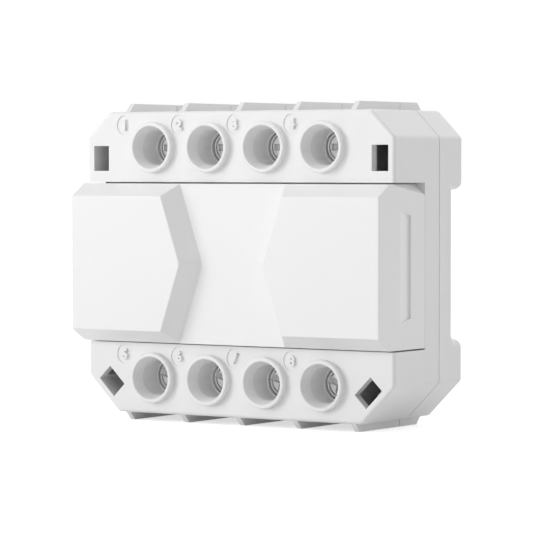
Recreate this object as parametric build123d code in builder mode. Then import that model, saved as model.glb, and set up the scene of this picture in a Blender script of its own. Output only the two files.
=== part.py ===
from build123d import *
import os
from math import sqrt

os.makedirs("parts", exist_ok=True)

# Switch adapter with eight screw terminals, in millimetres. Seen from the front, X runs to the
# right, Y to the back and Z up. The origin lies under the middle, where the lower ribs stand.

# Housing
pitch = 9.0                   # from one terminal to the next
row_terminals = 4             # terminals in each row
body_width = 48.8
body_height = 40.8            # over the shoulders, without the ribs
cover_proud = 3.9             # plateaux in front of the shoulders
front_shell_depth = 11.4      # shoulder face to the joint between the shells
foot_height = 2.24            # feet behind the recessed back
recess_height = 19.8          # between the feet
axis_inset = 4.84             # terminal axis to the end of its shoulder
top_corner = 3.58             # legs of the 45-degree corners
bottom_corner = 4.94
corner_round = 0.8
front_edge_round = 0.45
back_edge_round = 0.5
foot_round = 1.05             # feet's inner edges
recess_round = 0.75           # where the feet meet the recessed back
rebate_inset = 0.3            # narrow step along both sides of the recess
rebate_depth = 0.9
joint_gap = 0.14              # fine groove round the joint between the shells
joint_groove = 0.7            # the groove's depth into the wall
wall = 1.5
front_wall = 1.3
over = 1.0                    # how far a cut runs past the surface that it opens
near = 0.12                   # edges and faces this close to a place are taken for an edge's finish

# Barrier ribs over and under the shoulders
rib_reach = 1.1
rib_thickness = 0.7
rib_front = 0.35              # behind the shoulder face
rib_back = 0.6                # in front of the back of the feet

# Cover
cover_height = 21.4
cover_gap = 0.2               # shadow gap round the cover
plateau_rise = 2.72           # plateau front to the valley between the plateaux
plateau_top_bevel = 1.66      # height that the upper and lower bevels take
plateau_corner = 9.66         # plateau's inner corners, from the middle
plateau_tip = 6.59            # plateau's inner tip, from the middle
plateau_side_bevel = 1.86
cover_wall = 1.4
cover_edge_round = 0.15
cover_tip_round = 2.0         # soft crease at each plateau's tip
cover_rim = 1.7               # cover's rim, behind the shoulder face
skirt_depth = 7.7             # skirt's end, behind the shoulder face
skirt_gap = 0.06              # behind the skirts
skirt_facet = 1.4             # triangular facet at each skirt's upper end
grip_start = 1.4              # grip recess, behind the shoulder face
grip_end = 4.2
grip_depth = 0.3
grip_height = 13.3
grip_flare = 1.2              # how much taller the shallow end is
deck_depth = 1.8              # deck under the cover, behind the shoulder face
deck = 1.4
deck_window_margin = 0.9      # deck's ledge that the cover's tabs catch
deck_side_ledge = 0.2         # deck's ledge at the sides
tab_width = 4.0
tab_side = 5.15               # tabs to the middle
tab_thickness = 0.9
tab_nose = 0.6
tab_play = 0.12

# Wells, labels and latches
rim_radius = 3.42
rim_height = 0.84
rim_outer_round = 0.25
mouth_radius = 2.9            # wide end of the mouth's cone
mouth_depth = 0.8             # behind the shoulder face
mouth_round = 0.12
bore_radius = 2.4
bore_depth = 4.1              # behind the shoulder face
label_radius = 1.35
label_depth = 0.12
label_up = 3.05               # above the terminal's axis
label_side = 0.25             # and a little more than half a pitch to its left
latch_thickness = 2.5         # window, square to the wall
latch_width = 3.4             # window, along the wall
latch_skin = 0.95             # wall left outside the window
latch_drop = 6.3              # upper windows, under the shoulder's end
latch_slide = 0.15            # lower windows, from the middle of their corners upwards
latch_catch = 6.0             # catch face, behind the shoulder face
arm_thickness = 1.1
arm_width = 2.8
arm_play = 0.15
nose_play = 0.1
nose_length = 1.4
nose_flat = 0.47              # catching side of the nose

# Terminals
head_depth = 4.3              # screw head, behind the shoulder face
head_radius = 2.0
head_thickness = 1.4
head_play = 0.12              # behind the head
head_room = 0.2               # round the head
slot_width = 0.81
slot_depth = 0.3
cross_length = 2.66
cross_depth = 0.5
upper_slot_turn = 90          # slots of each row, in degrees from level
lower_slot_turn = -16
ring_inner = 1.64             # ring groove in the head
ring_outer = 1.82
ring_depth = 0.25
thread_radius = 1.45
thread_depth = 0.25
thread_pitch = 0.5
thread_play = 0.05
shank_play = 0.2
shelf = 1.1                   # shelf behind the screw head
pocket_width = 5.9
pocket_wall = 0.8
cage_play = 0.15
cage_end_play = 0.3
cage_wall = 0.8
cage_roof = 1.4
cage_floor = 0.75
cage_back_play = 0.56         # open cage to the foot's floor
cage_round = 0.3
bar_width = 3.6
bar_thickness = 0.8
bar_play = 0.15               # between the bar and the open cage
bar_tip = 0.5                 # bar's end, inside the end wall
bar_overlap = 2.8             # bar along the board
bar_leg = 0.8
bar_leg_spacing = 2.2
bar_leg_reach = 0.6           # legs beyond the board
wire_gap = 2.6                # room for the wire in the open cage
wire_radius = 1.7
wire_bevel = 0.2
tip_play = 0.1                # screw tip to the bar
seat_wall = 1.4               # wall between the cover's bay and the terminals

# Board
board_thickness = 1.0
board_side_play = 0.5         # to the shell's side walls
board_end_play = 0.1
board_corner = 1.5
board_play = 0.05
rail_width = 1.1
rail_height = 15.0
pin_radius = 0.35
pin_play = 0.1
pin_reach = 0.8               # pins behind the board

# Relays
relay_count = 3
relay_gap = 0.9               # from one relay to the next
relay_side_play = 0.55        # to the supply parts
relay_end_play = 0.28         # to the cover's tabs
relay_front_play = 0.48       # to the cover's inside
relay_standoff = 0.3
case_wall = 0.5
case_round = 0.3
base_thickness = 1.2
base_play = 0.05
coil_rim = 0.35               # flanges stand out over the winding
coil_end = 2.6                # bobbin's upper end, above the relay's middle
coil_pin_inset = 0.64         # pins to the flange's sides
flange = 0.7
flange_step = 0.2             # flanges narrower than the yoke, on each side
core_radius = 1.3
core_play = 0.05
pole_radius = 2.0
pole_thickness = 0.4
yoke_thickness = 0.9
yoke_side_play = 0.8          # yoke to the case's sides
yoke_end_play = 0.5           # yoke to the case's lower end
yoke_foot = 2.6               # yoke's lower arm, behind the core's axis
yoke_play = 0.3               # between the yoke and the case
armature_gap = 0.5
armature_thickness = 0.8
armature_step = 0.4           # armature narrower than the yoke, on each side
armature_play = 0.1
armature_end = 0.8            # armature's free end to the base
carrier_length = 2.6
carrier_height = 1.6
carrier_width = 3.6
blade_thickness = 0.2
blade_width = 2.4
contact_radius = 0.9
contact_thickness = 0.45
contact_gap = 0.5
contact_rise = 1.7            # contacts' middle above the base
fixed_blade = 0.3

# Supply parts, at the left of the relays
strip_play = 0.45             # to the front shell's side
bulk_radius = 2.65
bulk_height = 8.4
bulk_neck = 0.25              # groove round the foot, and the bevel at the top
bulk_neck_start = 0.75        # foot to the groove
film_width = 5.2
film_length = 4.4
film_height = 7.2
coil_core_radius = 2.5
coil_core_height = 5.4
coil_core_flange = 0.9
coil_core_waist = 1.9
varistor_radius = 2.4
varistor_thickness = 1.7
fuse_radius = 1.1
fuse_height = 6.2
lead_radius = 0.3
lead_gap = 0.2                # part's underside above the board
rectifier_size = (4.6, 3.0, 1.3)
rectifier_lead_count = 2
coupler_size = (4.4, 3.6, 1.4)
coupler_lead_count = 2
driver_size = (2.9, 1.6, 1.1)
driver_lead_count = 3
chip_place = 2.2              # chips to the middle, up and down
chip_lead = 0.3
chip_lead_reach = 0.7

# Radio, at the right of the relays
radio_play = 2.1              # to the front shell's side
radio_thickness = 0.8
radio_length = 16.4
radio_top = 1.9               # radio board's front edge, behind the shoulder face
radio_foot = 0.5              # radio board's back edge, in front of the main board
shield_length = 9.6
shield_height = 4.4
shield_depth = 1.4
shield_round = 0.25
antenna_width = 0.5
antenna_thickness = 0.08
antenna_reach = 2.0           # over the turns, from the board's front
antenna_turns = 4
header_pins = 6
header_pitch = 2.0
header_width = 1.4
header_height = 1.5

# Levels that follow from the sizes above
rear_shell_depth = bar_thickness + wire_gap + cage_floor + cage_back_play + wall
body_depth = cover_proud + front_shell_depth + rear_shell_depth
half_width = body_width / 2
half_height = body_height / 2
z_middle = rib_reach + half_height
y_front = -body_depth / 2
y_back = body_depth / 2
y_shoulder = y_front + cover_proud
y_valley = y_front + plateau_rise
y_joint = y_shoulder + front_shell_depth
y_recess = y_back - foot_height
y_deck = y_shoulder + deck_depth
y_rim = y_shoulder + cover_rim
y_skirt = y_shoulder + skirt_depth
y_foot_floor = y_back - wall
y_back_floor = y_recess - wall
bay_half = cover_height / 2 + cover_gap
tab_outside = bay_half - deck_window_margin - tab_play
tab_inside = tab_outside - tab_thickness
seat_half = bay_half + seat_wall
core_half = half_width - cover_wall - cover_gap - wall
side_half = half_width - wall
end_half = half_height - wall
pocket_length = end_half - seat_half
pocket_middle = (end_half + seat_half) / 2
row = half_height - axis_inset

columns = [(index - (row_terminals - 1) / 2) * pitch for index in range(row_terminals)]
rib_places = [(index - row_terminals / 2) * pitch for index in range(row_terminals + 1)]
terminals = [(x, z_middle + side * row, side) for side in (1, -1) for x in columns]
axes = [(x, z) for x, z, side in terminals]
pockets = [(x, z_middle + side * pocket_middle) for x, z, side in terminals]

y_head = y_shoulder + head_depth
y_shelf = y_head + head_thickness + head_play
y_shelf_back = y_shelf + shelf
y_bar = y_joint
y_bar_back = y_bar + bar_thickness
y_roof = y_bar - bar_play
y_floor = y_bar_back + wire_gap
y_wire = y_bar_back + wire_gap / 2
y_board = y_joint - board_thickness
board_half_width = side_half - board_side_play
board_half_height = seat_half - board_end_play
y_pin_end = y_joint + pin_reach
leg_half = board_half_height - bar_overlap + bar_leg

y_base_back = y_board - relay_standoff
y_base = y_base_back - base_thickness
y_case = y_valley + cover_wall + relay_front_play
strip_middle = core_half - strip_play - bulk_radius
relay_room = 2 * (strip_middle - bulk_radius - relay_side_play)
relay_width = (relay_room + relay_gap) / relay_count - relay_gap
relay_length = 2 * (tab_inside - relay_end_play)
relays = [(index - (relay_count - 1) / 2) * (relay_width + relay_gap) for index in range(relay_count)]
yoke_width = relay_width - 2 * case_wall - 2 * yoke_side_play
flange_width = yoke_width - 2 * flange_step
armature_width = yoke_width - 2 * armature_step
coil_start = relay_length / 2 - case_wall - yoke_end_play - yoke_thickness
y_yoke = y_case + case_wall + yoke_play
y_yoke_back = y_yoke + yoke_thickness
y_core = (y_yoke_back + y_base) / 2
flange_height = y_base - y_yoke_back - 2 * armature_play
coil_radius = flange_height / 2 - coil_rim
z_pole = z_middle + coil_end + pole_thickness
z_armature = z_pole + armature_gap
z_armature_back = z_armature + armature_thickness
z_blade = z_armature_back + carrier_length
z_moving_contact = z_blade - contact_thickness
z_fixed_contact = z_moving_contact - contact_gap
z_fixed_blade = z_fixed_contact - contact_thickness
y_contact = y_base - contact_rise
y_radio = y_shoulder + radio_top
y_radio_foot = y_board - radio_foot
y_parts = y_board - lead_gap


def facing_front(y):
    "Sketch plane at depth y: its x is X and its y is Z, and it extrudes towards the front"
    return Plane.XZ.offset(-y)


def facing_up(z):
    "Sketch plane at height z: its x is X and its y is Y"
    return Plane.XY.offset(z)


def facing_side(x):
    "Sketch plane at x: its x is Y and its y is Z, and it extrudes to the right"
    return Plane.YZ.offset(x)


def outline(inset):
    "Corners of the housing's eight-sided outline, moved inwards by the inset"
    side = half_width - inset
    top = z_middle + half_height - inset
    bottom = z_middle - half_height + inset
    upper = top_corner - inset * (2 - sqrt(2))
    lower = bottom_corner - inset * (2 - sqrt(2))
    right = [(side - lower, bottom), (side, bottom + lower), (side, top - upper), (side - upper, top)]
    return right + [(-x, z) for x, z in reversed(right)]


def plateau(side, bevel, inset):
    "Corners of one plateau's outline: bevel 0 is its face, 1 its foot, and inset its inside"
    end = half_width - inset
    high = cover_height / 2 - plateau_top_bevel * (1 - bevel) - inset
    corner = plateau_corner - (plateau_side_bevel - plateau_lean) * bevel + inset
    tip = plateau_tip - plateau_side_bevel * bevel + inset
    points = [(end, -high), (end, high), (corner, high), (tip, 0), (corner, -high)]
    return [(side * x, z_middle + z) for x, z in points]


def save(builder, name):
    "Names the finished piece and writes it"
    builder.part.label = name
    export_step(builder.part, f"parts/{name}.step")


plateau_lean = plateau_top_bevel * (plateau_corner - plateau_tip) / (cover_height / 2 - plateau_top_bevel)

# Latches: middle of each window, and the way out through the wall beside it
latch_inset = latch_skin + latch_thickness / 2
chamfer_side = half_width - bottom_corner / 2 - (latch_inset - latch_slide) / sqrt(2)
chamfer_down = half_height - bottom_corner / 2 - (latch_inset + latch_slide) / sqrt(2)
latches = []
for side in (-1, 1):
    upper_place = (side * (half_width - latch_inset), z_middle + half_height - latch_drop)
    lower_place = (side * chamfer_side, z_middle - chamfer_down)
    latches.append((upper_place, (side, 0), 0))
    latches.append((lower_place, (side / sqrt(2), -1 / sqrt(2)), -45 * side))

# Front shell: shoulders with the wells, and a bay for the cover between them
with BuildPart() as front_shell:
    with BuildSketch(facing_front(y_joint)):
        Polygon(*outline(0), align=None)
        fillet(vertices(), corner_round)
    extrude(amount=front_shell_depth)
    fillet(faces().sort_by(Axis.Y)[0].edges(), front_edge_round)

    # Barrier ribs, as far as the joint
    for x in rib_places:
        with BuildSketch(facing_side(x - rib_thickness / 2)):
            for side in (-1, 1):
                foot = z_middle + side * (half_height - wall / 2)
                base = z_middle + side * half_height
                tip = base + side * rib_reach
                start = y_shoulder + rib_front
                Polygon((start, foot), (start, base), (start + rib_reach, tip), (y_joint, tip),
                        (y_joint, foot), align=None)
        extrude(amount=rib_thickness)

    # Bay for the cover, and the notches for its skirts
    with BuildSketch(facing_front(y_deck)):
        with Locations((0, z_middle)):
            Rectangle(body_width + 2 * over, 2 * bay_half)
    extrude(amount=deck_depth + over, mode=Mode.SUBTRACT)
    with BuildSketch(facing_front(y_skirt + skirt_gap)):
        for side in (-1, 1):
            with Locations((side * half_width, z_middle)):
                Rectangle(2 * (cover_wall + cover_gap), 2 * bay_half)
    extrude(amount=skirt_depth + skirt_gap, mode=Mode.SUBTRACT)

    # Room for the board and the relays, with the board's seat at the joint
    with BuildSketch(facing_front(y_joint)):
        with Locations((0, z_middle)):
            Rectangle(2 * core_half, 2 * bay_half)
    extrude(amount=y_joint - y_deck - deck, mode=Mode.SUBTRACT)
    with BuildSketch(facing_front(y_joint)):
        with Locations((0, z_middle)):
            Rectangle(2 * (board_half_width + board_end_play), 2 * seat_half)
    extrude(amount=board_thickness + board_play, mode=Mode.SUBTRACT)
    with BuildSketch(facing_front(y_deck + deck)):
        with Locations((0, z_middle)):
            Rectangle(2 * (core_half - deck_side_ledge), 2 * (bay_half - deck_window_margin))
        fillet(vertices(), corner_round)
    extrude(amount=deck + over, mode=Mode.SUBTRACT)

    # Cores between the terminal pockets, then the pockets
    with BuildSketch(facing_front(y_joint)):
        Polygon(*outline(wall), align=None)
        with Locations((0, z_middle)):
            Rectangle(body_width, 2 * seat_half, mode=Mode.SUBTRACT)
        with Locations(*pockets):
            Rectangle(pocket_width + 2 * pocket_wall, pocket_length + over, mode=Mode.SUBTRACT)
    extrude(amount=front_shell_depth - front_wall, mode=Mode.SUBTRACT)
    with BuildSketch(facing_front(y_joint)):
        with Locations(*pockets):
            Rectangle(pocket_width, pocket_length)
    extrude(amount=y_joint - y_shelf_back, mode=Mode.SUBTRACT)

    # Wells with raised rims, and with conical mouths that lead to the bores
    with BuildSketch(facing_front(y_shoulder)):
        with Locations(*axes):
            Circle(rim_radius)
    extrude(amount=rim_height)
    fillet(faces().sort_by(Axis.Y)[:len(axes)].edges(), rim_outer_round)
    for place in axes:
        with BuildSketch(facing_front(y_shoulder + mouth_depth)):
            with Locations(place):
                Circle(bore_radius)
        with BuildSketch(facing_front(y_shoulder - rim_height)):
            with Locations(place):
                Circle(mouth_radius)
        loft(ruled=True, mode=Mode.SUBTRACT)
    rim_tops = faces().sort_by(Axis.Y)[:len(axes)]
    fillet([edge for top in rim_tops for edge in top.inner_wires()[0].edges()], mouth_round)
    with BuildSketch(facing_front(y_shoulder + bore_depth)):
        with Locations(*axes):
            Circle(bore_radius)
    extrude(amount=bore_depth - mouth_depth, mode=Mode.SUBTRACT)
    with BuildSketch(facing_front(y_shelf)):
        with Locations(*axes):
            Circle(head_radius + head_room)
    extrude(amount=y_shelf - y_shoulder - bore_depth, mode=Mode.SUBTRACT)
    with BuildSketch(facing_front(y_shelf_back)):
        with Locations(*axes):
            Circle(thread_radius + shank_play)
    extrude(amount=shelf, mode=Mode.SUBTRACT)

    # Round label recesses beside the wells
    with BuildSketch(facing_front(y_shoulder + label_depth)):
        with Locations(*[(x - pitch / 2 - label_side, z + label_up) for x, z in axes]):
            Circle(label_radius)
    extrude(amount=label_depth, mode=Mode.SUBTRACT)

    # Latch windows: each ends in the catch for one arm of the rear shell
    with BuildSketch(facing_front(y_shoulder + latch_catch)):
        for place, outward, turn in latches:
            with Locations(place):
                Rectangle(latch_thickness, latch_width, rotation=turn)
    extrude(amount=latch_catch, mode=Mode.SUBTRACT)
save(front_shell, "front_shell")

# Rear shell: back wall with two feet, wire entries, and four arms that latch the front shell
with BuildPart() as rear_shell:
    with BuildSketch(facing_front(y_back)):
        Polygon(*outline(0), align=None)
        fillet(vertices(), corner_round)
    extrude(amount=y_back - y_joint)
    fillet(faces().sort_by(Axis.Y)[-1].edges(), back_edge_round)

    # Groove round the joint
    with BuildSketch(facing_front(y_joint + joint_gap)):
        with Locations((0, z_middle)):
            Rectangle(body_width + 2 * over, body_height + 2 * over)
        Polygon(*outline(joint_groove), align=None, mode=Mode.SUBTRACT)
    extrude(amount=joint_gap, mode=Mode.SUBTRACT)

    # Recess between the feet
    with BuildSketch(facing_side(-half_width - over)):
        with Locations((y_recess + foot_height, z_middle)):
            Rectangle(2 * foot_height, recess_height)
        fillet(vertices().group_by(Axis.Y)[0], recess_round)
    extrude(amount=body_width + 2 * over, mode=Mode.SUBTRACT)
    foot_edges = edges().filter_by(Axis.X).group_by(Axis.Y)[-1]
    fillet(foot_edges.filter_by(
        lambda edge: abs(abs(edge.center().Z - z_middle) - recess_height / 2) < foot_round), foot_round)
    with BuildSketch(facing_front(y_recess)):
        for side in (-1, 1):
            with Locations((side * half_width, z_middle)):
                Rectangle(2 * rebate_inset, recess_height)
    extrude(amount=rebate_depth, mode=Mode.SUBTRACT)

    # Barrier ribs behind the joint's groove
    rib_start = y_joint + joint_gap
    for x in rib_places:
        with BuildSketch(facing_side(x - rib_thickness / 2)):
            for side in (-1, 1):
                foot = z_middle + side * (half_height - wall / 2)
                base = z_middle + side * half_height
                tip = base + side * rib_reach
                end = y_back - rib_back
                Polygon((end, foot), (end, base), (end - rib_reach, tip), (rib_start, tip),
                        (rib_start, foot), align=None)
        extrude(amount=rib_thickness)

    # Room behind the board, with rails at its sides
    with BuildSketch(facing_front(y_back_floor)):
        with Locations((0, z_middle)):
            Rectangle(2 * side_half, 2 * (seat_half - pocket_wall))
    extrude(amount=y_back_floor - y_joint, mode=Mode.SUBTRACT)
    with BuildSketch(facing_front(y_back_floor)):
        for side in (-1, 1):
            with Locations((side * (side_half - rail_width / 2), z_middle)):
                Rectangle(rail_width, rail_height)
    extrude(amount=y_back_floor - y_joint)

    # Cores and cage pockets, which reach into the feet
    with BuildSketch(facing_front(y_foot_floor)):
        Polygon(*outline(wall), align=None)
        with Locations((0, z_middle)):
            Rectangle(body_width, 2 * seat_half, mode=Mode.SUBTRACT)
        with Locations(*pockets):
            Rectangle(pocket_width + 2 * pocket_wall, pocket_length + over, mode=Mode.SUBTRACT)
        with Locations(*pockets):
            Rectangle(pocket_width, pocket_length)
    extrude(amount=y_foot_floor - y_joint, mode=Mode.SUBTRACT)

    # Notches for the current bars, in the wall between the board and the cages
    with BuildSketch(facing_front(y_bar_back + bar_play)):
        for x, z, side in terminals:
            with Locations((x, z_middle + side * seat_half)):
                Rectangle(bar_width + 2 * bar_play, 2 * pocket_wall + over)
    extrude(amount=bar_thickness + bar_play, mode=Mode.SUBTRACT)

    # Wire entries through the end walls
    for side in (-1, 1):
        with BuildSketch(facing_up(z_middle + side * end_half)):
            with Locations(*[(x, y_wire) for x in columns]):
                Circle(wire_radius)
        extrude(amount=side * wall, mode=Mode.SUBTRACT)
        end_face = faces().filter_by(Axis.Z).filter_by(
            lambda face: abs(face.center().Z - z_middle - side * half_height) < near)
        mouths = end_face.edges().filter_by(GeomType.CIRCLE)
        chamfer(mouths.filter_by(lambda edge: abs(edge.radius - wire_radius) < near), wire_bevel)

    # Latch arms with their noses in front of the front shell's catches
    arm_outside = latch_inset - wall - arm_play
    arm_inside = arm_outside - arm_thickness
    nose_outside = latch_thickness / 2 - arm_play
    y_nose = y_shoulder + latch_catch - nose_play
    for (x, z), (right, up), turn in latches:
        with BuildSketch(Plane((x, 0, z), x_dir=(right, 0, up), z_dir=(-up, 0, right))):
            Polygon((arm_inside, y_foot_floor + wall / 2), (arm_outside, y_foot_floor + wall / 2),
                    (arm_outside, y_nose), (nose_outside, y_nose),
                    (nose_outside, y_nose - nose_flat), (arm_outside, y_nose - nose_length),
                    (arm_inside, y_nose - nose_length), align=None)
        extrude(amount=arm_width / 2, both=True)
save(rear_shell, "rear_shell")

# Front cover: hollow, with two plateaux, side skirts and tabs that catch behind the deck
with BuildPart() as front_cover:
    with BuildSketch(facing_front(y_rim)):
        with Locations((0, z_middle)):
            Rectangle(body_width, cover_height)
    extrude(amount=y_rim - y_valley)
    for side in (-1, 1):
        with BuildSketch(facing_front(y_valley)):
            Polygon(*plateau(side, 1, 0), align=None)
        with BuildSketch(facing_front(y_front)):
            Polygon(*plateau(side, 0, 0), align=None)
        loft(ruled=True)
    with BuildSketch(facing_front(y_skirt)):
        for side in (-1, 1):
            with Locations((side * (half_width - cover_wall / 2), z_middle)):
                Rectangle(cover_wall, cover_height)
    extrude(amount=y_skirt - y_valley)

    # Triangular facets that thin the skirts' upper ends
    facet_length = y_skirt - y_valley
    for side in (-1, 1):
        corner = (side * half_width, y_valley, z_middle + cover_height / 2)
        slope = (side * facet_length, skirt_facet, facet_length)
        with BuildSketch(Plane(corner, z_dir=slope)):
            Rectangle(body_width, body_width)
        extrude(amount=skirt_facet, mode=Mode.SUBTRACT)

    # Rounded edges of the plateaux
    tip_creases = edges().filter_by(
        lambda edge: all(abs(vertex.Z - z_middle) < near for vertex in edge.vertices()))
    fillet(tip_creases.filter_by(lambda edge: edge.center().Y < y_valley), cover_tip_round)
    plateau_edges = edges().filter_by(lambda edge: edge.center().Y < y_valley - near)
    fillet(plateau_edges, cover_edge_round)

    # Hollow behind the front wall
    with BuildSketch(facing_front(y_rim)):
        with Locations((0, z_middle)):
            Rectangle(body_width - 2 * cover_wall, cover_height - 2 * cover_wall)
    extrude(amount=y_rim - y_valley - cover_wall, mode=Mode.SUBTRACT)
    for side in (-1, 1):
        with BuildSketch(facing_front(y_valley + cover_wall)):
            Polygon(*plateau(side, 1, cover_wall), align=None)
        with BuildSketch(facing_front(y_front + cover_wall)):
            Polygon(*plateau(side, 0, cover_wall), align=None)
        loft(ruled=True, mode=Mode.SUBTRACT)

    # Grip recesses, deepest at the back
    for side in (-1, 1):
        with BuildSketch(facing_front(y_shoulder + grip_end)):
            with Locations((side * half_width, z_middle)):
                Rectangle(2 * grip_depth, grip_height)
        with BuildSketch(facing_front(y_shoulder + grip_start)):
            with Locations((side * (half_width + grip_depth / 2), z_middle)):
                Rectangle(grip_depth, grip_height + grip_flare)
        loft(ruled=True, mode=Mode.SUBTRACT)

    # Snap tabs
    y_tab_nose = y_deck + deck + tab_play
    for x in (-tab_side, tab_side):
        with BuildSketch(facing_side(x - tab_width / 2)):
            for up in (-1, 1):
                Polygon((y_valley + cover_wall / 2, z_middle + up * tab_inside),
                        (y_valley + cover_wall / 2, z_middle + up * tab_outside),
                        (y_tab_nose, z_middle + up * tab_outside),
                        (y_tab_nose, z_middle + up * (tab_outside + tab_nose)),
                        (y_tab_nose + tab_nose, z_middle + up * (tab_outside + tab_nose)),
                        (y_tab_nose + 2 * tab_nose, z_middle + up * tab_outside),
                        (y_tab_nose + 2 * tab_nose, z_middle + up * tab_inside), align=None)
        extrude(amount=tab_width)
save(front_cover, "front_cover")

# Clamp screws: head with a ring groove, a slot and a cross recess, and a threaded shank
y_tip = y_bar - tip_play
thread_turns = int((y_tip - y_head - head_thickness) / thread_pitch)
y_thread = y_tip - thread_turns * thread_pitch
for number, (x, z, side) in enumerate(terminals, start=1):
    screw_axis = Axis((x, 0, z), (0, 1, 0))
    slot_turn = upper_slot_turn if side > 0 else lower_slot_turn
    thread = []
    for turn in range(thread_turns):
        thread.append((thread_radius, y_thread + turn * thread_pitch))
        thread.append((thread_radius - thread_depth, y_thread + (turn + 0.5) * thread_pitch))
    with BuildPart() as terminal_screw:
        with BuildSketch(Plane((x, 0, z), x_dir=(1, 0, 0), z_dir=(0, 0, 1))):
            Polygon((0, y_head), (head_radius - cage_play, y_head), (head_radius, y_head + cage_play),
                    (head_radius, y_head + head_thickness), (thread_radius, y_head + head_thickness),
                    *thread, (thread_radius - thread_depth, y_tip), (0, y_tip), align=None)
        revolve(axis=screw_axis)
        with BuildSketch(facing_front(y_head + ring_depth)):
            with Locations((x, z)):
                Circle(ring_outer)
                Circle(ring_inner, mode=Mode.SUBTRACT)
        extrude(amount=ring_depth, mode=Mode.SUBTRACT)
        with BuildSketch(facing_front(y_head + slot_depth)):
            with Locations((x, z)):
                Rectangle(2 * head_radius + over, slot_width, rotation=slot_turn)
        extrude(amount=slot_depth, mode=Mode.SUBTRACT)
        with BuildSketch(facing_front(y_head + cross_depth)):
            with Locations((x, z)):
                Rectangle(cross_length, slot_width, rotation=slot_turn)
                Rectangle(slot_width, cross_length, rotation=slot_turn)
        extrude(amount=cross_depth, mode=Mode.SUBTRACT)
    save(terminal_screw, f"terminal_screw_{number}")

# Rising cages: threaded roof, window for the bar and the wire, and a floor that clamps
for number, (x, z) in enumerate(pockets, start=1):
    axis_z = axes[number - 1][1]
    with BuildPart() as terminal_cage:
        with BuildSketch(facing_front(y_floor + cage_floor)):
            with Locations((x, z)):
                Rectangle(pocket_width - 2 * cage_play, pocket_length - 2 * cage_end_play)
            fillet(vertices(), cage_round)
        extrude(amount=y_floor + cage_floor - y_roof + cage_roof)
        with BuildSketch(facing_up(z - pocket_length)):
            with Locations((x, (y_roof + y_floor) / 2)):
                Rectangle(pocket_width - 2 * cage_play - 2 * cage_wall, y_floor - y_roof)
        extrude(amount=2 * pocket_length, mode=Mode.SUBTRACT)
        with BuildSketch(facing_front(y_roof)):
            with Locations((x, axis_z)):
                Circle(thread_radius + thread_play)
        extrude(amount=cage_roof, mode=Mode.SUBTRACT)
    save(terminal_cage, f"terminal_cage_{number}")

# Current bars: from the cage to the board, with two legs through the board
for number, (x, z, side) in enumerate(terminals, start=1):
    outer_end = z_middle + side * (end_half - bar_tip)
    inner_end = z_middle + side * (board_half_height - bar_overlap)
    with BuildPart() as terminal_bar:
        with BuildSketch(facing_front(y_bar_back)):
            with Locations((x, (outer_end + inner_end) / 2)):
                Rectangle(bar_width, abs(outer_end - inner_end))
        extrude(amount=bar_thickness)
        with BuildSketch(facing_front(y_bar)):
            for leg in (-1, 1):
                with Locations((x + leg * bar_leg_spacing / 2, z_middle + side * leg_half)):
                    Rectangle(bar_leg, bar_leg)
        extrude(amount=board_thickness + bar_leg_reach)
    save(terminal_bar, f"terminal_bar_{number}")

# Places of the relay pins, from the relay's middle
coil_pins = [(side * (flange_width / 2 - coil_pin_inset), -coil_start + flange / 2) for side in (-1, 1)]
yoke_pin = (0, -coil_start - yoke_thickness / 2)
contact_pin = (0, z_fixed_blade - fixed_blade / 2 - z_middle)
relay_pins = coil_pins + [yoke_pin, contact_pin]

# Supply parts down the strip, evenly spaced, from the top: middle of each from the housing's middle
strip_lengths = [2 * fuse_radius, 2 * bulk_radius, film_length, 2 * coil_core_radius, varistor_thickness]
strip_gap = (2 * bay_half - sum(strip_lengths)) / (len(strip_lengths) + 1)
strip_places = []
strip_end = bay_half
for length in strip_lengths:
    strip_places.append(strip_end - strip_gap - length / 2)
    strip_end = strip_places[-1] - length / 2
fuse_place, bulk_place, film_place, coil_place, varistor_place = strip_places
fuse_side = strip_middle - fuse_radius

# Places of the supply parts' leads and the radio header's pins, on the board
supply_leads = [
    (-strip_middle - bulk_radius / 2, bulk_place), (-strip_middle + bulk_radius / 2, bulk_place),
    (-strip_middle - film_width / 4, film_place), (-strip_middle + film_width / 4, film_place),
    (-strip_middle - coil_core_waist / 2, coil_place), (-strip_middle + coil_core_waist / 2, coil_place),
    (-strip_middle - varistor_radius / 2, varistor_place),
    (-strip_middle + varistor_radius / 2, varistor_place),
    (-fuse_side, fuse_place), (-fuse_side - 2 * fuse_radius, fuse_place),
]
x_radio = core_half - radio_play - radio_thickness
header_side = x_radio - header_width / 2
header_places = [(header_side, (index - (header_pins - 1) / 2) * header_pitch)
                 for index in range(header_pins)]

# Main board with its holes
with BuildPart() as main_board:
    with BuildSketch(facing_front(y_joint)):
        with Locations((0, z_middle)):
            Rectangle(2 * board_half_width, 2 * board_half_height)
        chamfer(vertices(), board_corner)
    extrude(amount=board_thickness)
    with BuildSketch(facing_front(y_joint)):
        for x, z, side in terminals:
            for leg in (-1, 1):
                with Locations((x + leg * bar_leg_spacing / 2, z_middle + side * leg_half)):
                    Rectangle(bar_leg + pin_play, bar_leg + pin_play)
        for relay in relays:
            with Locations(*[(relay + x, z_middle + z) for x, z in relay_pins]):
                Circle(pin_radius + pin_play)
        with Locations(*[(x, z_middle + z) for x, z in supply_leads]):
            Circle(lead_radius + pin_play)
        with Locations(*[(x, z_middle + z) for x, z in header_places]):
            Circle(lead_radius + pin_play)
    extrude(amount=board_thickness, mode=Mode.SUBTRACT)
save(main_board, "main_board")

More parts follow.
